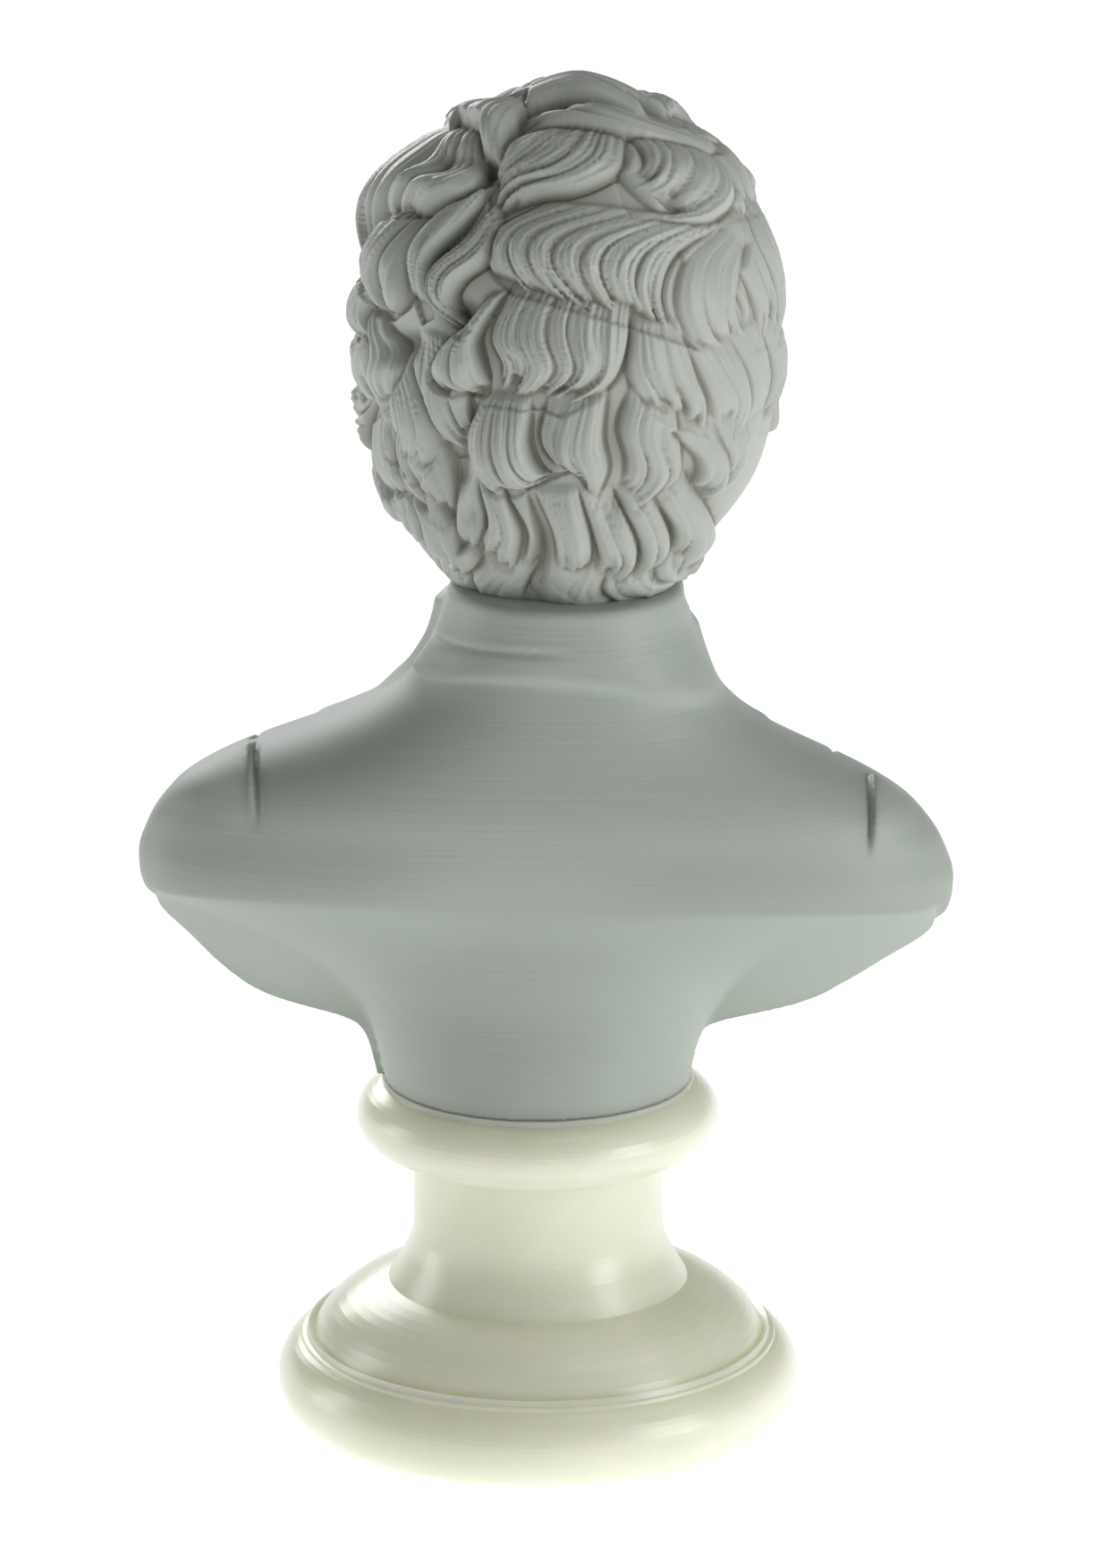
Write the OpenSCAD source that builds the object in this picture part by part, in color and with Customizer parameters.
// Portrait bust of cast marble on a turned alabaster socle.
// The head keys into the coat's collar on a dowel, and one threaded rod clamps the bust to the socle.
// Millimetres, +Z up. Origin: centre of the felt pad's underside. The bust faces -Y.

/* [Socle] */
// Largest radius of the base moulding
base_r = 47.7; // [46:0.1:54]
// Radius of the waist between the two mouldings
waist_r = 22.7; // [18:0.1:24]
// Largest radius of the cap moulding
cap_r = 33; // [32:0.1:38]
// Height of the seat on top of the socle
seat_z = 64.5; // [60:0.5:80]

/* [Bust] */
// Width across the cut arms
shoulder_w = 145; // [120:1:170]
// Radius of the bust's round foot
foot_r = 28; // [24:0.1:28.5]
// Height of the collar's top above the foot
torso_h = 91.4; // [80:0.1:105]
// Height of the crown above the collar's top
head_h = 94; // [85:1:105]
// Turn of the head about the neck, towards -X, in degrees
head_turn = 18; // [0:1:30]
// How far the +X shoulder stands above the -X shoulder, as a slope
shoulder_slope = 0.031; // [0:0.001:0.06]

/* [Fixings] */
// Radius of the threaded rod
rod_r = 3; // [2.5:0.1:3.2]
// Radius of the dowel in the neck
dowel_r = 2.5; // [2:0.25:4]
// Radius of the felt pad
felt_r = 37; // [30:1:38]
// Thickness of the felt pad
felt_t = 1.5; // [1:0.1:2.5]

/* [Hidden] */

// Gaps between pieces that are glued together, and round pieces that pass through.
glue_gap = 0.1;
rod_gap = 0.5;
felt_gap = 0.5;

// Underside of the socle: the felt stands this far below the stone.
felt_proud = 0.5;
counterbore_r = 11;
counterbore_top = 15.5;

// Fixings in the counterbore, from the top down.
flat_washer_t = 1.6;
flat_washer_r = 9;
spring_washer_t = 1.6;
spring_washer_r = 5.6;
spring_washer_slit = 1.2;
nut_t = 5;
nut_across_flats = 10;
rod_tail = 2.4;

// Seat of the bust on the socle.
bedding_t = 0.5;
bedding_r = 26;
foot_gap = 0.1;
foot_z = seat_z + foot_gap;
insert_r = 5;
insert_h = 16;
insert_z = foot_z + 3;
rod_in_insert = 14;

// Neck joint.
collar_z = foot_z + torso_h;
neck_x = -5;
neck_y = -3;
neck_r = 14.5;
neck_depth = 17;
dowel_in_head = 12;
dowel_in_torso = 12;

marble_warm = "#d9d8d0";
marble_cool = "#ccd2cd";
alabaster = "#e4e5cf";
felt_green = "#2f4a3a";

// ---- Shared functions ----

// Smooth step from 0 at a to 1 at b.
function ease(a, b, x) = let(t = min(1, max(0, (x - a) / (b - a)))) t * t * (3 - 2 * t);

// Power that keeps the sign.
function power(v, p) = sign(v) * pow(abs(v), p);

// Smooth maximum of two depths.
function blend_max(a, b, soft) = (a + b + sqrt((a - b) * (a - b) + soft * soft)) / 2;

// Points of an elliptical arc from angle a0 to a1 about (cx, cz).
function arc(cx, cz, rx, rz, a0, a1, steps) =
    [for (i = [0:steps]) let(a = a0 + (a1 - a0) * i / steps) [cx + rx * cos(a), cz + rz * sin(a)]];

// Closed skin over a stack of rings with the same number of points, the lowest ring first.
module skin(rings) {
    n = len(rings[0]);
    top = len(rings) - 1;
    sides = [for (j = [0:top - 1], i = [0:n - 1]) let(a = j * n + i, b = j * n + (i + 1) % n)
        each [[a, a + n, b], [b, a + n, b + n]]];
    caps = [[for (i = [0:n - 1]) i], [for (i = [n - 1:-1:0]) top * n + i]];
    polyhedron(points = [for (r = rings) each r], faces = concat(sides, caps), convexity = 6);
}

// Ring with a square-cut hole, lying on the plane z.
module washer(r_out, r_in, t, z) {
    translate([0, 0, z]) difference() {
        cylinder(r = r_out, h = t, $fn = 64);
        translate([0, 0, -1]) cylinder(r = r_in, h = t + 2, $fn = 48);
    }
}

// ---- Socle ----

base_bead_r = 7.6;
cap_bead_r = 8.2;
ovolo_x = waist_r - 2.5;
ovolo_r = base_r - 6.4 - ovolo_x;
cove_r = 6.4;

// Half outline of the socle outside its bores, drawn for a seat at 64 and stretched to seat_z.
function socle_outline() = concat(
    [[0, 0], [base_r - 4.4, 0]],
    arc(base_r - base_bead_r, 7.2, base_bead_r, 8, -65, 64, 18),
    [[base_r - 4.4, 15], [base_r - 5.2, 15.1], [base_r - 5.5, 16.2]],
    arc(ovolo_x, 10.6, ovolo_r / cos(17), 15.8, 18, 71, 9),
    arc(waist_r + cove_r, 38, cove_r, 10.8, -132, -180, 7),
    [[waist_r, 49.6], [waist_r + 0.6, 50.4]],
    arc(cap_r - cap_bead_r, 57, cap_bead_r, 6.4, -92, 66, 18),
    [[foot_r + 0.4, 64], [0, 64]]);

module socle() {
    stretch = (seat_z - felt_proud) / 64;
    color(alabaster) difference() {
        rotate_extrude($fn = 96)
            polygon([for (p = socle_outline()) [p[0], felt_proud + p[1] * stretch]]);
        translate([0, 0, -1]) cylinder(r = felt_r + felt_gap, h = felt_t + 1, $fn = 96);
        translate([0, 0, -1]) cylinder(r = counterbore_r, h = counterbore_top + 1, $fn = 64);
        cylinder(r = rod_r + rod_gap, h = seat_z + 1, $fn = 48);
    }
}

// ---- Torso ----

// The tables below give lengths at heights above the foot, for a torso 91 high and 145 wide.
table_h = 91;
table_w = 145;
crease_h = 35;
section_steps = 60;
torso_levels = [0, 3, 6, 8, 9.5, 11.6, 15.7, 20, 24, 28, 32, 34.6, 35.2, 39, 43, 47, 51, 55, 59, 63,
                67, 71, 75, 79, 83, 87, 91];

// Half-width of the torso.
function torso_half(h) = h < 7 ? foot_r + h * 0.17 : shoulder_w / table_w * lookup(h, [
    [7, 29.8], [8, 31.5], [9.5, 38], [11.6, 45], [15.7, 53], [20, 57.5], [24, 61.5], [28, 65],
    [32, 68.3], [35, 70.5], [39, 72.1], [43, 72.5], [47, 71.5], [51, 69.3], [55, 64.8], [59, 57.5],
    [63, 47.8], [67, 38.8], [71, 32.4], [75, 28.2], [79, 25.6], [83, 23.8], [87, 22.4], [91, 21.4]]);

// Y of the side edges, of the front and of the back on the centre line.
function torso_edge(h) = lookup(h, [[0, 0], [7, -4], [16, -8], [35, 3], [60, 3], [75, 0], [91, -3]]);
function torso_front(h) = lookup(h, [
    [0, -foot_r], [8, -29.5], [16, -32], [26, -35], [36, -37], [46, -37.5], [56, -35.5], [64, -32],
    [72, -28.5], [80, -26.5], [91, -25]]);
function torso_back(h) = lookup(h, [
    [0, foot_r], [8, 27], [18, 25.8], [35, 26.5], [45, 27.6], [55, 27.2], [62, 25.4], [68, 23.8],
    [73, 22.2], [80, 20.2], [91, 19]]);

// Half-width of the round post that carries the undercut back.
function post_half(h) = lookup(h, [[0, foot_r], [8, 31], [18, 36], [28, 46], [35, 72]]);

// Y of the back and of the front at a share u of the half-width, from -1 to 1.
function back_y(h, u) = let(
    edge = torso_edge(h),
    across = abs(u) * torso_half(h) / post_half(h),
    reach = torso_back(h) - edge,
    post = edge + reach * sqrt(max(0, 1 - across * across)),
    wing = edge + 3 * (1 - u * u))
    h < crease_h ? blend_max(post, wing, 2.5 * (1 - u * u)) : edge + reach * sqrt(1 - pow(abs(u), 2.3));
function front_y(h, u) = let(edge = torso_edge(h)) edge - (edge - torso_front(h)) * sqrt(1 - pow(abs(u), 2.2));

// Section of the torso: the neck stands to one side of the foot and one shoulder is higher.
function torso_ring(h) = let(
    half = torso_half(h),
    shift = neck_x * ease(55, 88, h),
    slope = shoulder_slope * ease(8, 24, h) * (1 - ease(70, 86, h)))
    [for (i = [0:section_steps - 1]) let(a = 360 * i / section_steps, u = cos(a))
        [shift + half * u, sin(a) >= 0 ? back_y(h, u) : front_y(h, u),
         foot_z + h * torso_h / table_h + half * u * slope]];

module torso() {
    color(marble_cool) difference() {
        skin([for (h = torso_levels) torso_ring(h)]);
        translate([0, 0, foot_z - 1]) cylinder(r = bedding_r + glue_gap, h = 1 + bedding_t - foot_gap, $fn = 96);
        translate([0, 0, foot_z - 1]) cylinder(r = rod_r + rod_gap, h = insert_z - foot_z + 2, $fn = 48);
        translate([0, 0, insert_z]) cylinder(r = insert_r, h = insert_h, $fn = 48);
        translate([neck_x, neck_y, collar_z - neck_depth])
            cylinder(r = neck_r + glue_gap, h = neck_depth + 1, $fn = 64);
        translate([neck_x, neck_y, collar_z - neck_depth - dowel_in_torso])
            cylinder(r = dowel_r + glue_gap, h = dowel_in_torso + 1, $fn = 48);
    }
}

// ---- Head ----

// The tables below give lengths at heights above the collar, for a head 94 high, before it is turned.
head_table_h = 94;
head_steps = 64;
head_y = -5;
head_levels = [0.3, 2, 4, 7, 10, 14, 18, 22, 26, 30, 34, 38, 42, 47, 52, 57, 62, 67, 72, 77, 81, 85,
               88, 91, 92.8, 94];

function head_half(h) = lookup(h, [
    [0, 19], [4, 25], [10, 31], [20, 36], [32, 39.5], [47, 41], [60, 40.5], [70, 38], [80, 32],
    [87, 24], [91, 16], [94, 5]]);
function head_front(h) = lookup(h, [
    [0, 12], [4, 18], [7, 30], [11, 37], [16, 36], [22, 39], [35, 41], [42, 40], [50, 42], [60, 43],
    [72, 41], [80, 36], [87, 27], [91, 18], [94, 5]]);
function head_back(h) = lookup(h, [
    [0, 22], [4, 27], [10, 31], [20, 36], [32, 40], [47, 42], [60, 41], [70, 37.5], [80, 30],
    [87, 21], [91, 14], [94, 4]]);

// How far a plain nose stands out from the face.
nose_spread = 24;
function nose(h) = 9 * max(0, min((54 - h) / 20, (h - 29) / 4));

function head_ring(h) = [for (i = [0:head_steps - 1]) let(
    a = 360 * i / head_steps,
    x = head_half(h) * power(cos(a), sin(a) > 0 ? 0.9 : 1.1),
    y = sin(a) > 0 ? head_back(h) * power(sin(a), 0.9)
        : head_front(h) * power(sin(a), 1.1) - nose(h) * exp(-x * x / nose_spread))
    [x, head_y + y, h * head_h / head_table_h]];

module head() {
    color(marble_warm) translate([neck_x, neck_y, collar_z]) difference() {
        union() {
            rotate([0, 0, -head_turn]) skin([for (h = head_levels) head_ring(h)]);
            translate([0, 0, -neck_depth + glue_gap]) cylinder(r = neck_r, h = neck_depth + 8, $fn = 64);
        }
        translate([0, 0, -neck_depth - 1])
            cylinder(r = dowel_r + glue_gap, h = dowel_in_head + 1, $fn = 48);
    }
}

// ---- Fixings ----

module neck_dowel() {
    color("silver") translate([neck_x, neck_y, collar_z - neck_depth - dowel_in_torso + glue_gap])
        cylinder(r = dowel_r, h = dowel_in_torso + dowel_in_head - 4 * glue_gap, $fn = 48);
}

module foot_insert() {
    color("goldenrod") washer(insert_r, rod_r, insert_h, insert_z);
}

module threaded_rod() {
    rod_bottom = counterbore_top - flat_washer_t - spring_washer_t - nut_t - rod_tail;
    color("silver") translate([0, 0, rod_bottom])
        cylinder(r = rod_r, h = insert_z + rod_in_insert - rod_bottom, $fn = 48);
}

module bedding_disc() {
    color("white") washer(bedding_r, rod_r + rod_gap, bedding_t, seat_z);
}

module flat_washer() {
    color("silver") washer(flat_washer_r, rod_r + 0.2, flat_washer_t, counterbore_top - flat_washer_t);
}

module spring_washer() {
    z = counterbore_top - flat_washer_t - spring_washer_t;
    color("silver") difference() {
        washer(spring_washer_r, rod_r + 0.15, spring_washer_t, z);
        translate([0, -spring_washer_slit / 2, z - 1])
            cube([spring_washer_r + 1, spring_washer_slit, spring_washer_t + 2]);
    }
}

module hex_nut() {
    color("silver") translate([0, 0, counterbore_top - flat_washer_t - spring_washer_t - nut_t])
        difference() {
            cylinder(r = nut_across_flats / 2 / cos(30), h = nut_t, $fn = 6);
            translate([0, 0, -1]) cylinder(r = rod_r, h = nut_t + 2, $fn = 48);
        }
}

module felt_pad() {
    color(felt_green) cylinder(r = felt_r, h = felt_t, $fn = 96);
}

socle();
torso();
head();
neck_dowel();
foot_insert();
threaded_rod();
bedding_disc();
flat_washer();
spring_washer();
hex_nut();
felt_pad();
